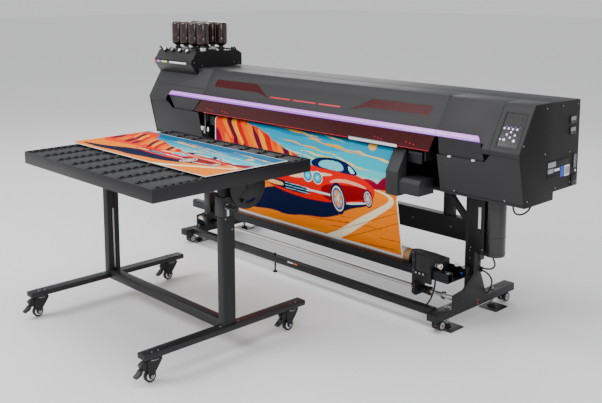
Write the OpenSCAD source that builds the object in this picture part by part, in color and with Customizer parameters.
// Wide-format roll printer and cutter with a take-up stand and a wheeled worktable in front.
// Millimetres. +X is the operator's right, -Y is the operator's side, +Z is up.
// The machine frame puts y = 0 near the guide beam; every node is moved by base_y so that the
// origin is the middle of the whole footprint, on the floor.

/* [Printer body] */
// Overall width across the two end panels
body_w = 2776; // [2600:2:3000]
// Height of the top edge above the floor
body_top = 1106; // [1080:2:1140]
// Height of the lower edge of the front covers
body_low = 660; // [640:2:680]
// Height of the knee where the front changes slope
knee_z = 905; // [900:1:910]
// Sheet thickness of the moulded covers
shell = 3; // [2:0.5:4]

/* [Print width] */
// Widest media that the platen takes
media_w = 1610; // [1400:10:1700]
// Width of the printed sheet that hangs from the platen
web_w = 1440; // [1000:10:1500]

/* [Stand] */
// Distance between the centre lines of the two feet
stand_pitch = 1952; // [1800:2:2000]
// Length of each foot
foot_len = 655; // [600:5:700]
// Width of each leg
leg_w = 56; // [40:1:80]
// Diameter of the bright bar under the take-up trough
bar_d = 25; // [20:1:27]
// Outside radius of the take-up core
core_r = 38; // [30:1:40]

/* [Ink station] */
// Number of bottles in each of the two rows
bottles_per_row = 4; // [2:1:5]
// Diameter of one ink bottle
bottle_d = 78; // [60:2:84]
// Height of one ink bottle with its neck
bottle_h = 180; // [150:5:200]

/* [Worktable] */
// Width of the table top
table_w = 1091; // [1000:1:1150]
// Depth of the table top
table_d = 874; // [800:2:900]
// Height of the table rim
table_top_z = 820; // [800:5:860]
// Height of the rim itself
rim_h = 58; // [50:1:70]
// Number of wheel rows
wheel_rows = 9; // [5:1:11]
// Distance between two wheel rows
row_pitch = 130; // [120:1:132]
// Number of wheels in a row
wheels_per_row = 22; // [10:1:23]
// Thickness of the printed board on the table
board_t = 3; // [2:1:5]

/* [Casters] */
// Radius of a worktable caster wheel
caster_r = 27; // [20:1:40]

/* [Hidden] */
$fn = 48;

// Placing
base_y = 765;
eps = 0.01;
gap = 0.4;
body_x = body_w / 2;
end_x = body_x - 4;

// Side profile of the body, in machine y and z
front_y = -400;
slope_top_y = -282;
slope_rise = body_top - knee_z;
slope_run = slope_top_y - front_y;
slope_deg = atan2(slope_rise, slope_run);
rear_y = 100;
rear_low = 697;
step_y = -112;
low_front_y = -348;
lip_z = 884;
lip_y = -396;
cover_seam_y = -144;
function slope_y(z) = front_y + (z - knee_z) * slope_run / slope_rise;

// Seams of the front, in x
seam_l = -850;
seam_r = 935;
panel_seam = 1233;
lower_l = -884;
lower_r = 940;
flap_l = -1200;
flap_r = 1195;
flap_z = 926;
flap_low_z = 850;
flap_low_y = -380;
window_l = -935;

// Light bar
led_low_v = 27;
led_high_v = 54;
led_l = -1180;
led_r = 1180;
led_out = 9;
led_deep = 1.6;

// Control panel recess on the slope
panel_u = [1255, 1367];
panel_v = [22, 189];

// Guide beam, carriages and belt
rail_front = -12;
rail_z = 940;
rail_h = 20;
carriage_x = 1155;
carriage_w = 290;
carriage_low = 862;
carriage_high = 1002;
cutter_x = -1280;
cutter_w = 120;
tool_y = -190;
tool_low = 864;
belt_y = -42;
belt_z = 1012;
belt_h = 10;
pulley_r = 14;
pulley_x = 1350;

// Platen and rollers
platen_top = 831;
platen_front = -338;
roller_y = -150;
roller_z = 820;
roller_r = 12;
pinch_r = 9;
pinch_z = platen_top + 3 + pinch_r;
pinch_hinge_y = -50;
pinch_hinge_z = 846;
pinch_pitch = 200;
pinch_count = 8;
lever_x = -870;
lever_y = -330;
lever_z = 850;

// Stand
foot_x = stand_pitch / 2;
foot_w = 60;
foot_low = 55;
foot_high = 92;
foot_front = -440;
leg_x = 978;
leg_front = -150;
leg_d = 56;
leveller_ys = [-322, 56];
tank_x = 1079;
tank_y = -92;
tank_low = 326;
caster_ys = [-400, 150];

// Take-up
bar_y = -300;
bar_z = 140;
trough_front = -352;
trough_rear = -200;
trough_low = 222;
trough_high = 268;
core_y = -265;
core_z = 274;
unit_x = 852;
unit_w = 112;
unit_left = unit_x - unit_w / 2;
unit_top = 344;
support_x = 800;
chuck_x = 728;
knob_y = -322;
knob_z = 285;
web_t = 1;
web_face = -353;
web_centre = -35;

// Roll at the back
feed_y = 165;
feed_z = 745;
feed_r = 52;

// Ink station, seen from its right side, in machine y and z
ink_left = -body_x;
ink_w = 401;
ink_top = 1205;
bottle_rows_y = [-215, -68];
bottle_pitch = 89;
bottle_first = 77;

// Worktable
table_x = -12;
table_front = -1676;
table_rear = table_front + table_d;
rim_t = 4;
rim_low = table_top_z - rim_h;
panel_top = table_top_z - 6;
panel_t = 3;
wheel_r = 13;
wheel_z = panel_top - 2;
wheel_pitch = 38;
wheel_w = 16;
board_x = [-600, 520];
board_y = [-1402, -935];
t_foot_x = 489;
t_foot_w = 54;
t_foot_low = 106;
t_foot_high = 130;
t_foot_front = -1712;
t_foot_len = 904;
column_y = -1252;
column_w = 42;
column_d = 66;
sleeve_w = 54;
column_top = 620;
sleeve_top = 708;
column_wall = 3;
pivot_y = -1150;
pivot_z = 740;
pivot_r = 6;
column_x = 475;
quadrant_x = 27;
quadrant_r = 100;
slot_r = 68;
bolt_y = pivot_y + slot_r * cos(-116);
bolt_z = pivot_z + slot_r * sin(-116);
caster_spots = [[1, -1655], [1, -880], [-1, -1655], [-1, -880]];
caster_trail = -18;
caster_w = 22;
clamp_y = -1266;
clamp_z = 668;

module place() {
    translate([0, base_y, 0])
        children();
}

// A box given by its two ranges in each direction
module span(x, y, z) {
    translate([x[0], y[0], z[0]])
        cube([x[1] - x[0], y[1] - y[0], z[1] - z[0]]);
}

// A cylinder along X from x0 to x1
module rod_x(r, x0, x1, y, z) {
    translate([x0, y, z])
        rotate([0, 90, 0])
            cylinder(r = r, h = x1 - x0);
}

// A y-z outline drawn out along X from x0 to x1
module profile_x(points, x0, x1) {
    translate([x0, 0, 0])
        rotate([90, 0, 90])
            linear_extrude(x1 - x0)
                polygon(points);
}

// Local u along X, v up the sloping front, w outwards
module on_slope() {
    translate([0, front_y, knee_z])
        rotate([slope_deg, 0, 0])
            children();
}

// A plate on the slope: outline in u and v, from depth w0 to w1
module slope_plate(points, w0, w1) {
    on_slope()
        translate([0, 0, w0])
            linear_extrude(w1 - w0)
                polygon(points);
}

module both_sides() {
    children();
    mirror([1, 0, 0])
        children();
}

// ---- Stand ----

module leg() {
    difference() {
        span([leg_x - leg_w / 2, leg_x + leg_w / 2], [leg_front, leg_front + leg_d],
             [foot_high, 700]);
        span([leg_x - leg_w / 2 + 3, leg_x + leg_w / 2 - 3],
             [leg_front + 3, leg_front + leg_d - 3], [foot_high + 1, 700 + eps]);
    }
}

// Arm that runs back under the body and up behind it to carry the shaft of the feed roll
module feed_arm() {
    x = [leg_x - leg_w / 2, leg_x - leg_w / 2 + 8];
    difference() {
        union() {
            span(x, [leg_front + leg_d, feed_y + 34], [feed_z - 105, feed_z - 60]);
            span(x, [feed_y - 59, feed_y + 34], [feed_z - 60, feed_z + 30]);
        }
        rod_x(12, leg_x - leg_w, leg_x + leg_w, feed_y, feed_z);
    }
}

module gusset() {
    profile_x([[-318, foot_high], [-318, 158], [-235, 168], [-138, 240], [-100, 240],
               [-70, 171], [-40, foot_high]], foot_x + foot_w / 2 - 6, foot_x + foot_w / 2);
}

module foot() {
    difference() {
        union() {
            span([foot_x - foot_w / 2, foot_x + foot_w / 2],
                 [foot_front, foot_front + foot_len], [foot_low, foot_high]);
            gusset();
        }
        for (y = leveller_ys)
            translate([foot_x, y, 0])
                cylinder(r = 6.2, h = foot_high + 1);
        rod_x(bar_d / 2, 0, foot_x + foot_w / 2 - 3, bar_y, bar_z);
    }
}

// Shelf of the waste tank on the right leg, and the wide plate on that leg's front
module tank_shelf() {
    x = leg_x + leg_w / 2;
    span([x, x + 94], [tank_y - 20, tank_y + 20], [tank_low - 8, tank_low - gap]);
    span([x, x + 4], [tank_y - 20, tank_y + 20], [tank_low - 40, tank_low - gap]);
    span([x - 31, x + 52], [leg_front - 3, leg_front], [346, 656]);
}

// Leg, foot and gusset plate of each side are welded together
module stand_legs() {
    color("#232325") {
        place()
            both_sides() {
                leg();
                feed_arm();
                foot();
            }
        place()
            tank_shelf();
    }
}

// Diagonal between the leg and the underside of the body frame
module brace() {
    rotate([90, 0, 0])
        linear_extrude(24)
            polygon([[leg_x - leg_w / 2, 440], [leg_x - leg_w / 2, 480], [736, 700],
                     [696, 700]]);
}

module stand_beams() {
    inner = leg_x - leg_w / 2;
    color("#1d1d1f")
        place() {
            difference() {
                span([-inner, inner], [-120, -75], [368, 478]);
                span([-inner - 1, inner + 1], [-117, -70], [371, 475]);
            }
            difference() {
                span([-foot_x + foot_w / 2, foot_x - foot_w / 2], [-402, -364],
                     [64, 98]);
                translate([-180, -383, 0])
                    cylinder(r = 5.2, h = 120);
            }
            both_sides()
                translate([0, -98, 0])
                    brace();
            span([785, 845], [-110, -84], [474, 700]);
            span([745, 800], [-118, -84], [610, 700]);
        }
}

module takeup_beam() {
    half = foot_x + foot_w / 2 - 8;
    color("#202124")
        place() {
            difference() {
                span([-half, half], [trough_front, trough_rear], [trough_low, trough_high]);
                span([-half - 1, half + 1], [trough_front + 38, trough_rear - 3],
                     [trough_low + 3, trough_high + 1]);
                for (z = [trough_low + 10, trough_low + 24, trough_low + 38])
                    rod_x(3, -half - 1, half + 1, trough_front - 1, z);
                span([-half - 1, half + 1], [trough_front + 4, trough_front + 34],
                     [trough_low + 4, trough_high - 4]);
            }
            both_sides()
                span([half - 30, half - 2], [trough_rear, leg_front], [trough_low, trough_high]);
        }
}

module takeup_bar() {
    color("#cfcfd2")
        place()
            rod_x(bar_d / 2 - 0.05, -foot_x - foot_w / 2 + 3, foot_x + foot_w / 2 - 3,
                  bar_y, bar_z);
}

// Threaded foot with its rubber cup on a square steel plate
module leveller() {
    translate([-42, -53, 0])
        cube([106, 106, 3]);
    translate([0, 0, 3]) {
        cylinder(r1 = 21, r2 = 16, h = 12);
        translate([0, 0, 12])
            cylinder(r = 6, h = foot_high - 10);
        translate([0, 0, 34])
            cylinder(r = 11, h = foot_low - 37 - gap, $fn = 6);
    }
}

module levelling_feet() {
    color("#3a3a3c")
        place() {
            both_sides()
                for (y = leveller_ys)
                    translate([foot_x, y, 0])
                        leveller();
            translate([-180, -383, 0]) {
                cylinder(r = 14, h = 5);
                cylinder(r = 5, h = 118);
            }
        }
}

module stand_caster() {
    translate([0, 0, 46])
        cylinder(r = 17, h = foot_low - 46);
    translate([-6, 0, 27])
        cube([12, 14, 22]);
    rod_x(7, -25, 25, 14, 27);
    for (x = [-25, 7])
        rod_x(24, x, x + 18, 14, 27);
}

module stand_casters() {
    color("#2a2a2c")
        place()
            both_sides()
                for (y = caster_ys)
                    translate([foot_x, y, 0])
                        stand_caster();
}

// ---- Body frame and covers ----

// Wall beside the platen that carries the pinch shaft and the lever's shaft
module inner_wall() {
    difference() {
        profile_x([[-345, 790], [-345, 864], [-315, 864], [-315, 834], [-80, 834], [-80, 858],
                   [40, 858], [40, 790]], 840, 846);
        rod_x(4.05, 839, 847, pinch_hinge_y, pinch_hinge_z);
        rod_x(5.05, 839, 847, lever_y, lever_z);
    }
}

module main_beam() {
    color("#303236")
        place() {
            difference() {
                span([-end_x, end_x], [-150, 40], [700, 790]);
                span([-end_x - 1, end_x + 1], [-146, 36], [704, 786]);
            }
            difference() {
                span([-end_x, end_x], [0, 60], [870, 1000]);
                span([-end_x - 1, end_x + 1], [4, 56], [874, 996]);
            }
            both_sides() {
                span([end_x - 60, end_x - 54], [-100, 40], [790, 870]);
                inner_wall();
                span([carriage_x - 120, carriage_x + 120], [-225, -149], [784, 790]);
            }
            for (i = [-4 : 4])
                difference() {
                    span([i * 180 - 3, i * 180 + 3], [-300, -34], [790, 808]);
                    span([i * 180 - 4, i * 180 + 4], [roller_y - 20, roller_y + 20], [802, 809]);
                }
        }
}

module side_panel() {
    profile_x([[rear_y, body_top - 6], [cover_seam_y, body_top - 2],
               [cover_seam_y, body_top], [slope_top_y, body_top], [front_y, knee_z],
               [lip_y, lip_z], [low_front_y, body_low], [step_y, body_low],
               [step_y, rear_low], [rear_y, rear_low]], end_x, body_x);
}

module side_panels() {
    color("#151516")
        place()
            both_sides()
                side_panel();
}

// Outline of the upper front shell, folded over the top and under the knee
upper_shell = [[cover_seam_y - gap, body_top], [slope_top_y, body_top], [front_y, knee_z],
               [lip_y, lip_z], [lip_y + shell, lip_z], [front_y + shell + 0.6, knee_z],
               [slope_top_y + shell * 0.6, body_top - shell],
               [cover_seam_y - gap, body_top - shell]];

// The same shell without its knee, where a flap or a window hangs below the light bar
module upper_front(x0, x1, knee_from, knee_to) {
    difference() {
        profile_x(upper_shell, x0, x1);
        span([knee_from, knee_to], [-420, -370], [lip_z - 5, flap_z]);
        slope_plate([[max(x0 - 1, led_l - gap), led_low_v - gap],
                     [min(x1 + 1, led_r + gap), led_low_v - gap],
                     [min(x1 + 1, led_r - 18), led_high_v + gap],
                     [max(x0 - 1, led_l + 18), led_high_v + gap]], -led_deep, 3);
    }
}

// Flap that leans inwards under the light bar; low and high are the x of its two ends
module flap(low, high) {
    intersection() {
        profile_x([[slope_y(flap_z) + 0.6, flap_z + 1], [slope_y(flap_z) + 0.3, flap_z],
                   [flap_low_y, flap_low_z], [flap_low_y + shell, flap_low_z],
                   [slope_y(flap_z) + shell, flap_z], [slope_y(flap_z) + shell, flap_z + 1]],
                  min(low[0], high[0]), max(low[1], high[1]));
        translate([0, -300, 0])
            rotate([90, 0, 0])
                linear_extrude(200)
                    polygon([[low[0], flap_low_z - 1], [low[1], flap_low_z - 1],
                             [high[1], flap_z + 2], [high[0], flap_z + 2]]);
    }
}

module left_end_cover() {
    color("#3c3d40")
        place() {
            upper_front(-end_x, seam_l - gap, flap_l, seam_l);
            flap([flap_l + 66, window_l - 4], [flap_l + 20, seam_l - 3]);
        }
}

module light_bar(x0, x1, slant0, slant1) {
    slope_plate([[x0, led_low_v], [x1, led_low_v], [x1 - slant1, led_high_v],
                 [x0 + slant0, led_high_v]], 0.2 - led_deep, led_out);
}

module left_light_bar() {
    color("#c98cf2")
        place()
            light_bar(led_l, seam_l - 1.5, 18, 0);
}

// Right end of the front, around the control panel
module right_end_cover() {
    color("#3c3d40")
        place()
            difference() {
                profile_x(upper_shell, panel_seam + gap, end_x);
                slope_plate([[panel_u[0], panel_v[0]], [panel_u[1], panel_v[0]],
                             [panel_u[1], panel_v[1]], [panel_u[0], panel_v[1]]], -12, 3);
            }
}

// Tray of the control panel with its raised touch glass; the rim stands below the cover
module control_panel() {
    u = [panel_u[0] + gap, panel_u[1] - gap];
    v = [panel_v[0] + gap, panel_v[1] - gap];
    wall = 4;
    color("#1b1c1f")
        place()
            difference() {
                slope_plate([[u[0], v[0]], [u[1], v[0]], [u[1], v[1]], [u[0], v[1]]], -12, 0.6);
                slope_plate([[u[0] + wall, v[0] + wall], [u[1] - wall, v[0] + wall],
                             [u[1] - wall, v[1] - wall], [u[0] + wall, v[1] - wall]], -4, 2);
            }
}

module rear_cover() {
    color("#2c2d30")
        place()
            profile_x([[cover_seam_y, body_top - 2], [rear_y, body_top - 6],
                       [rear_y, rear_low], [rear_y - shell, rear_low],
                       [rear_y - shell, body_top - 6 - shell],
                       [cover_seam_y, body_top - 2 - shell]], -end_x, end_x);
}

lower_shell = [[lip_y + 4, lip_z - gap], [low_front_y, body_low], [step_y, body_low],
               [step_y, body_low + shell], [low_front_y + shell, body_low + shell],
               [lip_y + 4 + shell, lip_z - gap]];

// Space for a flap: low and high are the x of its outer end, x1 is its inner end
module flap_notch(low, high, x1) {
    translate([0, -340, 0])
        rotate([90, 0, 0])
            linear_extrude(80)
                polygon([[high, lip_z + 1], [low, flap_low_z - 6], [x1, flap_low_z - 6],
                         [x1, lip_z + 1]]);
}

module lower_covers() {
    color("#37383b")
        place()
            difference() {
                union() {
                    profile_x(lower_shell, -end_x, lower_l);
                    profile_x(lower_shell, lower_r, end_x);
                    span([lower_l, lower_r], [low_front_y + 4, step_y - 11],
                         [body_low, body_low + shell]);
                }
                both_sides()
                    span([leg_x - leg_w / 2 - 1, leg_x + leg_w / 2 + 1],
                         [leg_front - 1, leg_front + leg_d + 1], [600, 700]);
                flap_notch(flap_l + 50, flap_l + 8, lower_l + 1);
                flap_notch(flap_r + 6, flap_r + 40, lower_r - 1);
                span([725, 858], [-345, -282], [body_low - 1, body_low + shell + 1]);
            }
}

// ---- Hinged covers ----

lens_left = [[-774, 171], [-402, 171], [-271, 96], [-374, 122], [-776, 122]];
cover_mid = (seam_l + seam_r) / 2;
lens_right = [for (p = lens_left) [2 * cover_mid - p[0], p[1]]];

module front_cover() {
    color("#3c3d40")
        place()
            difference() {
                upper_front(seam_l + gap, seam_r - gap, seam_l, seam_r);
                slope_plate(lens_left, -shell - 3, 3);
                slope_plate(lens_right, -shell - 3, 3);
            }
}

// Lenses and the tinted strip under the light bar
module cover_windows() {
    color([0.45, 0.05, 0.07, 0.6])
        place() {
            slope_plate(lens_left, -shell + 0.4, -0.2);
            slope_plate(lens_right, -shell + 0.4, -0.2);
            translate([0, 0.2, -1.4])
                flap([window_l, seam_r - 46], [seam_l + 8, seam_r - gap - 6]);
        }
}

module cover_light_bar() {
    color("#c98cf2")
        place()
            light_bar(seam_l + 1.5, seam_r - 1.5, 0, 0);
}

module maintenance_cover() {
    color("#3c3d40")
        place() {
            upper_front(seam_r + gap, panel_seam - gap, seam_r, flap_r);
            flap([seam_r + gap + 14, flap_r], [seam_r + gap + 14, flap_r - 15]);
        }
}

module maintenance_light_bar() {
    color("#c98cf2")
        place()
            light_bar(seam_r + 1.5, led_r, 0, 18);
}

// ---- Inside the body ----

module platen() {
    half = media_w / 2 + 15;
    color("#55585c")
        place()
            difference() {
                profile_x([[-30, 808], [-30, platen_top], [platen_front + 14, platen_top],
                           [platen_front + 4, platen_top - 4], [platen_front, platen_top - 14],
                           [platen_front, 770], [platen_front + 4, 770],
                           [platen_front + 4, 808]], -half, half);
                span([-half + 10, half - 10], [roller_y - 16, roller_y + 16], [800, 840]);
                rod_x(5.05, -half - 1, half + 1, roller_y, roller_z);
            }
}

module guide_rail() {
    color("#c8cacc")
        place()
            span([-1360, 1360], [rail_front, 0], [rail_z, rail_z + rail_h]);
}

module drive_pulley_shape() {
    difference() {
        union() {
            cylinder(r = pulley_r, h = belt_h + 2);
            cylinder(r = pulley_r + 3, h = 1.5);
        }
        translate([0, 0, -1])
            cylinder(r = 4.05, h = 20);
    }
}

module drive_pulley() {
    color("#b9bbbe")
        place()
            translate([pulley_x, belt_y, belt_z - 2])
                drive_pulley_shape();
}

module idler_pulley() {
    color("#b9bbbe")
        place()
            translate([-pulley_x, belt_y, belt_z - 2])
                drive_pulley_shape();
}

module drive_belt() {
    color("#141414")
        place()
            translate([0, belt_y, belt_z])
                difference() {
                    union() {
                        for (x = [-pulley_x, pulley_x])
                            translate([x, 0, 0])
                                cylinder(r = pulley_r + 2, h = belt_h);
                        span([-pulley_x, pulley_x], [-pulley_r - 2, pulley_r + 2],
                             [0, belt_h]);
                    }
                    for (x = [-pulley_x, pulley_x])
                        translate([x, 0, -1])
                            cylinder(r = pulley_r + 0.3, h = belt_h + 2);
                    span([-pulley_x, pulley_x], [-pulley_r - 0.3, pulley_r + 0.3],
                         [-1, belt_h + 1]);
                }
}

// Motor at the right end and the idler's pin at the left end, both on the guide beam
module carriage_motor() {
    color("#2b2c2e")
        place() {
            span([pulley_x - 28, pulley_x + 28], [belt_y - 26, belt_y + 28], [930, belt_z - 6]);
            span([pulley_x - 28, pulley_x + 28], [belt_y + 28, 0], [990, 999]);
            translate([pulley_x, belt_y, belt_z - 6])
                cylinder(r = 4, h = belt_h + 10);
            span([-pulley_x - 20, -pulley_x + 20], [belt_y - 20, 30], [1000, belt_z - 6]);
            translate([-pulley_x, belt_y, belt_z - 6])
                cylinder(r = 4, h = belt_h + 10);
        }
}

module print_carriage() {
    x0 = carriage_x - carriage_w / 2;
    x1 = carriage_x + carriage_w / 2;
    color("#2e3033")
        place()
            difference() {
                union() {
                    span([x0, x1], [-235, rail_front - 8], [carriage_low, carriage_high]);
                    span([x0 + 40, x1 - 40], [rail_front - 8, -1],
                         [rail_z - 14, rail_z + rail_h + 14]);
                    span([x0 - 34, x0], [-220, -90], [carriage_low + 4, 950]);
                    span([x1, x1 + 10], [-220, -90], [carriage_low + 4, 950]);
                }
                span([x0, x1], [rail_front - gap, 1],
                     [rail_z - gap, rail_z + rail_h + gap]);
                span([x0 + 20, x1 - 20], [-215, -60], [carriage_low + 30, carriage_high + 1]);
            }
}

module cutter_carriage() {
    x0 = cutter_x - cutter_w / 2;
    x1 = cutter_x + cutter_w / 2;
    color("#3b3d41")
        place()
            difference() {
                union() {
                    span([x0, x1], [-120, rail_front - 8], [880, 992]);
                    span([x0 + 20, x1 - 20], [rail_front - 8, -1],
                         [rail_z - 14, rail_z + rail_h + 14]);
                    span([cutter_x - 24, cutter_x + 24], [tool_y - 24, -120], [890, 960]);
                }
                span([x0, x1], [rail_front - gap, 1],
                     [rail_z - gap, rail_z + rail_h + gap]);
                translate([cutter_x, tool_y, 880])
                    cylinder(r = 12.05, h = 100);
            }
}

module cutter_tool() {
    color("#b4b6b9")
        place()
            translate([cutter_x, tool_y, tool_low]) {
                cylinder(r1 = 2, r2 = 8, h = 14);
                translate([0, 0, 14])
                    cylinder(r = 12, h = 104);
                translate([0, 0, 118])
                    cylinder(r = 15, h = 10);
            }
}

module cap_station() {
    x0 = carriage_x - 120;
    x1 = carriage_x + 120;
    color("#26272a")
        place()
            difference() {
                span([x0, x1], [-225, -80], [796, 846]);
                for (i = [0 : 3])
                    span([x0 + 12 + i * 56, x0 + 56 + i * 56], [-213, -92], [836, 847]);
            }
}

module grid_roller() {
    color("#9c9ea1")
        place() {
            rod_x(roller_r, -media_w / 2 - 4, media_w / 2 + 4, roller_y, roller_z);
            rod_x(5, -media_w / 2 - 34, -media_w / 2 - 4, roller_y, roller_z);
            rod_x(5, media_w / 2 + 4, media_w / 2 + 34, roller_y, roller_z);
        }
}

module pinch_rollers() {
    color("#2c2d2f")
        place()
            for (i = [0 : pinch_count - 1]) {
                x = (i - (pinch_count - 1) / 2) * pinch_pitch;
                rod_x(pinch_r, x - 12, x + 12, roller_y, pinch_z);
                for (s = [-18, 14])
                    span([x + s, x + s + 4], [roller_y - 5, pinch_hinge_y + 5],
                         [pinch_hinge_z - 5, pinch_hinge_z + 5]);
                rod_x(3, x - 18, x + 18, roller_y, pinch_z);
                rod_x(7, x - 18, x + 18, pinch_hinge_y, pinch_hinge_z);
                rod_x(4, -845, 845, pinch_hinge_y, pinch_hinge_z);
            }
}

module clamp_lever() {
    color("#d8d9da")
        place() {
            rod_x(8, lever_x - 22, lever_x + 22, lever_y, lever_z);
            rod_x(5, lever_x, -838, lever_y, lever_z);
            span([lever_x - 6, lever_x + 6], [-344, lever_y], [728, lever_z]);
            span([lever_x - 10, lever_x + 10], [-350, -336], [712, 742]);
        }
}

// Guard at the right edge of the web: a bent front plate, its side wall and a hollow box
module edge_hood() {
    x = [657, 731, 853];
    color("#2a2b2e")
        place() {
            profile_x([[-410, 610], [-410, 727], [-347, 834], [-343, 834], [-406, 726],
                       [-406, 610]], x[0], x[1]);
            profile_x([[-410, 610], [-410, 727], [-347, 834], [-343, 834], [-343, 610]],
                      x[1] - 4, x[1]);
            difference() {
                profile_x([[-400, 626], [-400, 683], [-385, 700], [-285, 700], [-285, 626]],
                          x[1] - 1, x[2]);
                profile_x([[-396, 630], [-396, 682], [-383, 696], [-284, 696], [-284, 630]],
                          x[1], x[2] - 4);
            }
        }
}

// ---- Ink station ----

ink_profile = [[-308.6, 1062.5], [-350, 1126], [-350, 1150], [-334, 1164], [-316, 1196],
               [-306, ink_top], [10, ink_top], [52, 1182], [52, body_top + gap],
               [slope_top_y - 1.5, body_top + gap]];

module ink_station() {
    x1 = ink_left + ink_w;
    color("#17181a")
        place()
            difference() {
                profile_x(ink_profile, ink_left, x1);
                profile_x([[-330, 1140], [-300, 1197], [8, 1199], [46, 1178],
                           [46, body_top + 6], [-286, body_top + 6]],
                          ink_left + 4, x1 - 4);
                for (y = bottle_rows_y)
                    for (i = [0 : bottles_per_row - 1])
                        translate([ink_left + bottle_first + i * bottle_pitch, y, 1190])
                            cylinder(r = 17, h = 40);
            }
}

module bottle() {
    rotate_extrude()
        polygon([[0, 0], [16, 0], [16, 26], [bottle_d / 2 - 10, 36], [bottle_d / 2, 48],
                 [bottle_d / 2, bottle_h - 8], [bottle_d / 2 - 6, bottle_h], [0, bottle_h]]);
}

module ink_bottles() {
    color("#3a1d16")
        place()
            for (y = bottle_rows_y)
                for (i = [0 : bottles_per_row - 1])
                    translate([ink_left + bottle_first + i * bottle_pitch, y, 1206])
                        bottle();
}

// ---- Waste tank and captive cables ----

module waste_tank() {
    color("#29292b")
        place()
            translate([tank_x, tank_y, tank_low])
                cylinder(r = 52, h = 650 - tank_low);
}

// Points of a cable: straight runs with round middles, as a list of [x, y, z]
cable_body = [[1300, -300, 659], [1300, -296, 640], [1300, -282, 616], [1300, -250, 600],
              [1300, -210, 596], [1300, -170, 604], [1300, -146, 622], [1300, -136, 644],
              [1300, -134, 659]];
cable_unit = [[880, -290, 221], [884, -296, 196], [892, -312, 170], [898, -336, 140],
              [900, -356, 120], [900, -370, 110], [900, -380, 104]];
cable_tank = [[1062, -84, 316], [1070, -84, 302], [1078, -84, 285], [1079, -85, 270],
              [1070, -87, 257], [1054, -89, 249], [1032, -90, 245], [1007, -90, 244]];
cable_foot = [[1007, -90, 232], [1024, -89, 230], [1042, -86, 222], [1055, -81, 206],
              [1058, -74, 186], [1051, -64, 164], [1038, -52, 144], [1024, -40, 124],
              [1012, -30, 108], [1000, -22, 99], [990, -18, 97]];
cable_r = 4;
cable_sides = 8;

function unit(v) = v / norm(v);
function tangent(p, i) =
    unit(p[min(i + 1, len(p) - 1)] - p[max(i - 1, 0)]);
function ring_axis(t) =
    unit(cross(t, [0.31, 0.87, 0.38]));
function ring(p, i) =
    let (t = tangent(p, i), a = ring_axis(t), b = cross(t, a))
        [for (k = [0 : cable_sides - 1])
            p[i] + cable_r * (cos(k * 360 / cable_sides) * a + sin(k * 360 / cable_sides) * b)];

// A tube swept along the points, one ring at each point
module cable(p) {
    n = len(p);
    rings = [for (i = [0 : n - 1]) each ring(p, i)];
    walls = [for (i = [0 : n - 2])
        for (k = [0 : cable_sides - 1])
            let (a = i * cable_sides + k, b = i * cable_sides + (k + 1) % cable_sides)
                [a, a + cable_sides, b + cable_sides, b]];
    first = [for (k = [0 : cable_sides - 1]) k];
    last = [for (k = [cable_sides - 1 : -1 : 0]) (n - 1) * cable_sides + k];
    polyhedron(points = rings, faces = concat(walls, [first], [last]), convexity = 6);
}

module captive_cables() {
    color("#0e0e0f")
        place() {
            cable(cable_body);
            cable(cable_unit);
            cable(cable_tank);
            cable(cable_foot);
        }
}

// ---- Take-up and feed ----

// Block that sits on the trough and clamps on the bar: x0 is its left face, x1 its right
module unit_block(x0, x1) {
    difference() {
        union() {
            profile_x([[-366, trough_high + 4], [-366, unit_top], [-316, unit_top],
                       [-215, unit_top - 44], [-215, trough_high + 4]], x0, x1);
            span([x0, x1], [-366, trough_front - 3], [200, unit_top]);
            span([x0, x0 + 22], [-366, trough_front - 3], [130, unit_top]);
            span([x0, x1], [-300, -226], [240, 290]);
            profile_x([[-366, trough_low - 3], [-366, 130], [-352, 118], [-290, 118],
                       [-280, 128], [-280, 165], [-320, trough_low - 3]], x0 + 4, x0 + 14);
            rod_x(20, x0 - 12, x0 + 48, bar_y, bar_z);
        }
        rod_x(bar_d / 2 + 0.05, x0 - 13, x1 + 1, bar_y, bar_z);
    }
}

module takeup_unit() {
    color("#242527")
        place()
            difference() {
                union() {
                    unit_block(unit_left, unit_left + unit_w);
                    rod_x(14, unit_left + unit_w, unit_left + unit_w + 26, knob_y, knob_z);
                }
                rod_x(10.05, unit_left - 1, unit_left + 22, core_y, core_z);
            }
}

// Shaft, flange and the plug that fits inside the cardboard tube
module takeup_chuck() {
    color("#18191a")
        place() {
            rod_x(10, chuck_x + 13, unit_left + 20, core_y, core_z);
            rod_x(44, chuck_x, chuck_x + 14, core_y, core_z);
            rod_x(core_r - 4.1, chuck_x - 22, chuck_x, core_y, core_z);
        }
}

module takeup_support() {
    color("#242527")
        place() {
            unit_block(-support_x - 60, -support_x);
            rod_x(10, -support_x - 5, -support_x + 40, core_y, core_z);
        }
}

// Cardboard tube with its left hub; the hub turns on the support's stub shaft
module takeup_core() {
    x0 = -support_x + 10;
    x1 = chuck_x - 0.5;
    color("#b98d5e")
        place()
            difference() {
                union() {
                    rod_x(core_r, x0 + 15, x1, core_y, core_z);
                    rod_x(core_r - 2, x0, x0 + 15, core_y, core_z);
                }
                rod_x(core_r - 4, x0 + 32, x1 + 1, core_y, core_z);
                rod_x(10.05, x0 - 1, x0 + 40, core_y, core_z);
            }
}

module feed_roll() {
    color("#e9e9e6")
        place() {
            rod_x(feed_r, -media_w / 2, media_w / 2, feed_y, feed_z);
            rod_x(11.9, -leg_x + leg_w / 2 - 12, leg_x - leg_w / 2 + 12, feed_y, feed_z);
        }
}

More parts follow.
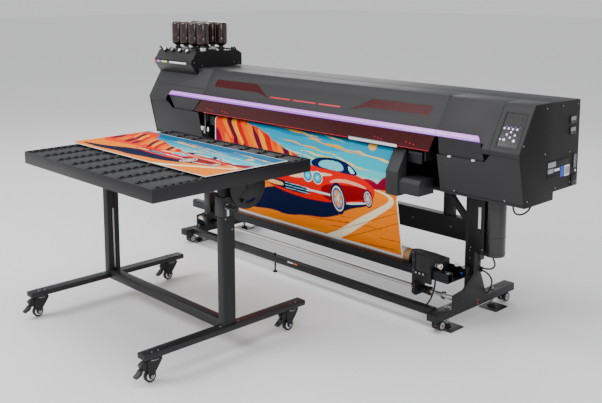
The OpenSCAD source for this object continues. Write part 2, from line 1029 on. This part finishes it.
// Outer line of the hanging sheet: over the platen's nose, down, and back to the core
nose_r = 28;
nose_y = web_face + nose_r;
nose_z = platen_top + web_t + 0.4 - nose_r;
web_tail_y = core_y - core_r - web_t - 0.5;
function web_line(inset) = concat(
    [[-182, nose_z + nose_r - inset]],
    [for (a = [90 : 15 : 180])
        [nose_y + (nose_r - inset) * cos(a), nose_z + (nose_r - inset) * sin(a)]],
    [[web_face + inset, 560], [web_tail_y + inset, core_z + 6], [web_tail_y + inset, core_z]]);

module printed_web() {
    outer = web_line(0);
    inner = web_line(web_t);
    color("#e98a3c")
        place()
            profile_x(concat(outer, [for (i = [len(inner) - 1 : -1 : 0]) inner[i]]),
                      web_centre - web_w / 2, web_centre + web_w / 2);
}

// ---- Worktable ----

module table_place() {
    place()
        translate([table_x, 0, 0])
            children();
}

module outer_column() {
    x = column_w / 2;
    y = column_d / 2;
    difference() {
        span([-x, x], [column_y - y, column_y + y], [t_foot_high, column_top]);
        span([-x + column_wall, x - column_wall],
             [column_y - y + column_wall, column_y + y - column_wall],
             [t_foot_high + 1, column_top + 1]);
        span([-x - 1, -x + 6], [column_y - 9, column_y + 9],
             [t_foot_high + 30, column_top - 40]);
    }
}

// Each side is modelled on the right with its column at x = column_x and then mirrored
module table_base() {
    color("#2b2c2e")
        table_place() {
            both_sides() {
                span([t_foot_x - t_foot_w / 2, t_foot_x + t_foot_w / 2],
                     [t_foot_front, t_foot_front + t_foot_len], [t_foot_low, t_foot_high]);
                translate([column_x, 0, 0])
                    outer_column();
                for (spot = [caster_spots[0], caster_spots[1]])
                    translate([t_foot_x - 22, spot[1] - 22, t_foot_low - 4])
                        cube([44, 44, 4]);
            }
            span([-column_x + column_w / 2, column_x - column_w / 2],
                 [column_y - 30, column_y + 15], [t_foot_low, t_foot_high + 20]);
        }
}

// Tilt bracket on the outer face of the sleeve
bracket = [[-1240, 650], [-1240, 748], [-1144, 748], [-1130, 732], [-1142, 704],
           [-1168, 668], [-1200, 650]];

// Inner tubes with the sleeves on top of them, tilt brackets, pivot pins and slot bolts
module table_columns() {
    w = column_w / 2 - column_wall - 1;
    d = column_d / 2 - column_wall - 0.5;
    inner = column_w / 2 - sleeve_w;
    color("#3a3b3e")
        table_place()
            both_sides()
                translate([column_x, 0, 0]) {
                    span([-w, w], [column_y - d, column_y + d], [180, sleeve_top - 8]);
                    span([inner, column_w / 2],
                         [column_y - column_d / 2, column_y + column_d / 2],
                         [column_top + gap, sleeve_top]);
                    span([-8, 9], [column_y - d, column_y + d], [sleeve_top - 1, 748]);
                    profile_x(bracket, column_w / 2 - 1, column_w / 2 + 4);
                    rod_x(12, column_w / 2 + 3, quadrant_x - 0.4, pivot_y, pivot_z);
                    rod_x(pivot_r, column_w / 2, quadrant_x + 9, pivot_y, pivot_z);
                    rod_x(8, column_w / 2 + 3, quadrant_x - 0.4, bolt_y, bolt_z);
                    rod_x(4.5, column_w / 2, quadrant_x + 7, bolt_y, bolt_z);
                    rod_x(9, quadrant_x + 6.4, quadrant_x + 16, bolt_y, bolt_z);
                }
}

// Clamping bar that locks the height of one column; it points outwards from the sleeve
module column_clamp() {
    x = column_x + column_w / 2 + gap;
    rod_x(6, x, x + 12, clamp_y, clamp_z);
    rod_x(10, x + 11, x + 78, clamp_y, clamp_z);
}

module column_clamp_l() {
    color("#151516")
        table_place()
            mirror([1, 0, 0])
                column_clamp();
}

module column_clamp_r() {
    color("#151516")
        table_place()
            column_clamp();
}

module tilt_quadrants() {
    color("#2a2b2d")
        table_place()
            both_sides()
                translate([column_x + quadrant_x, 0, 0])
                    difference() {
                        intersection() {
                            rod_x(quadrant_r, 0, 6, pivot_y, pivot_z);
                            span([-1, 7], [-1300, -950], [560, rim_low]);
                        }
                        rod_x(pivot_r + 0.05, -1, 7, pivot_y, pivot_z);
                        translate([-1, pivot_y, pivot_z])
                            rotate([90, 0, 90])
                                rotate([0, 0, -138])
                                    rotate_extrude(angle = 84)
                                        translate([slot_r - 6, 0])
                                            square([12, 8]);
                    }
}

module table_frame() {
    x = table_w / 2;
    color("#2d2e30")
        table_place() {
            difference() {
                span([-x, x], [table_front, table_rear], [rim_low, table_top_z]);
                span([-x + rim_t, x - rim_t], [table_front + rim_t, table_rear - rim_t],
                     [rim_low - 1, table_top_z + 1]);
            }
            for (y = [table_front + 120, pivot_y - 20, table_rear - 160])
                span([-x + rim_t, x - rim_t], [y, y + 40], [rim_low, rim_low + 26]);
        }
}

function row_x(i) = (i - (wheel_rows - 1) / 2) * row_pitch;

module table_panels() {
    strip = row_pitch - 22;
    color("#3b3c3f")
        table_place()
            for (i = [0 : wheel_rows - 2])
                translate([row_x(i) + row_pitch / 2, 0, 0])
                    difference() {
                        span([-strip / 2, strip / 2],
                             [table_front + rim_t, table_rear - rim_t],
                             [rim_low + 26, panel_top]);
                        span([-strip / 2 + 2, strip / 2 - 2],
                             [table_front + rim_t + 2, table_rear - rim_t - 2],
                             [rim_low + 25, panel_top - panel_t]);
                    }
}

// One wheel row: wheels side by side on their carrier strip
module wheel_row(x) {
    first = table_front + table_d / 2 - (wheels_per_row - 1) * wheel_pitch / 2;
    for (j = [0 : wheels_per_row - 1])
        rod_x(wheel_r, x - wheel_w / 2, x + wheel_w / 2, first + j * wheel_pitch, wheel_z);
    span([x - 4, x + 4], [table_front + rim_t + 0.2, table_rear - rim_t - 0.2],
         [wheel_z - 6, wheel_z + 4]);
}

module roller_wheels() {
    color("#161617")
        table_place()
            for (i = [0 : wheel_rows - 1])
                wheel_row(row_x(i));
}

module printed_board() {
    z = wheel_z + wheel_r;
    color("#e98a3c")
        place()
            span(board_x, board_y, [z + 0.1, z + 0.1 + board_t]);
}

// Caster fork with its swivel head and brake pedal; the wheel trails to the front
module fork(spot) {
    cheek = caster_w / 2 + 1.5;
    translate([spot[0] * t_foot_x, spot[1], 0]) {
        translate([0, 0, 96])
            cylinder(r = 17, h = t_foot_low - 4.3 - 96);
        for (x = [-cheek - 3, cheek])
            profile_x([[-36, 98], [36, 98], [33, 88], [caster_trail + 13, 34],
                       [caster_trail + 6, 17], [caster_trail - 8, 17],
                       [caster_trail - 13, 32], [-36, 84]], x, x + 3);
        span([-cheek - 3, cheek + 3], [-36, 36], [95, 98]);
        rod_x(4, -cheek - 5, cheek + 5, caster_trail, caster_r);
        profile_x([[-20, 96], [-24, 70], [-40, 60], [-56, 58], [-60, 44], [-88, 34],
                   [-91, 40], [-74, 52], [-70, 86], [-50, 96]], -cheek, cheek);
    }
}

module wheel(spot) {
    translate([spot[0] * t_foot_x, spot[1] + caster_trail, caster_r])
        rotate([0, 90, 0])
            difference() {
                translate([0, 0, -caster_w / 2])
                    cylinder(r = caster_r, h = caster_w);
                translate([0, 0, -caster_w])
                    cylinder(r = 4.05, h = 2 * caster_w);
            }
}

module table_fork(i) {
    color("#1b1b1c")
        table_place()
            fork(caster_spots[i]);
}

module table_wheel(i) {
    color("#202020")
        table_place()
            wheel(caster_spots[i]);
}

module table_fork_1() { table_fork(0); }
module table_fork_2() { table_fork(1); }
module table_fork_3() { table_fork(2); }
module table_fork_4() { table_fork(3); }
module table_wheel_1() { table_wheel(0); }
module table_wheel_2() { table_wheel(1); }
module table_wheel_3() { table_wheel(2); }
module table_wheel_4() { table_wheel(3); }

stand_legs();
stand_beams();
takeup_beam();
takeup_bar();
levelling_feet();
stand_casters();
main_beam();
side_panels();
left_end_cover();
right_end_cover();
rear_cover();
lower_covers();
left_light_bar();
control_panel();
platen();
guide_rail();
drive_belt();
carriage_motor();
drive_pulley();
idler_pulley();
print_carriage();
cutter_carriage();
cutter_tool();
cap_station();
grid_roller();
pinch_rollers();
clamp_lever();
front_cover();
cover_windows();
cover_light_bar();
maintenance_cover();
maintenance_light_bar();
ink_station();
ink_bottles();
edge_hood();
waste_tank();
captive_cables();
takeup_unit();
takeup_chuck();
takeup_support();
takeup_core();
feed_roll();
printed_web();
table_base();
table_columns();
column_clamp_l();
column_clamp_r();
tilt_quadrants();
table_frame();
table_panels();
roller_wheels();
printed_board();
table_fork_1();
table_fork_2();
table_fork_3();
table_fork_4();
table_wheel_1();
table_wheel_2();
table_wheel_3();
table_wheel_4();
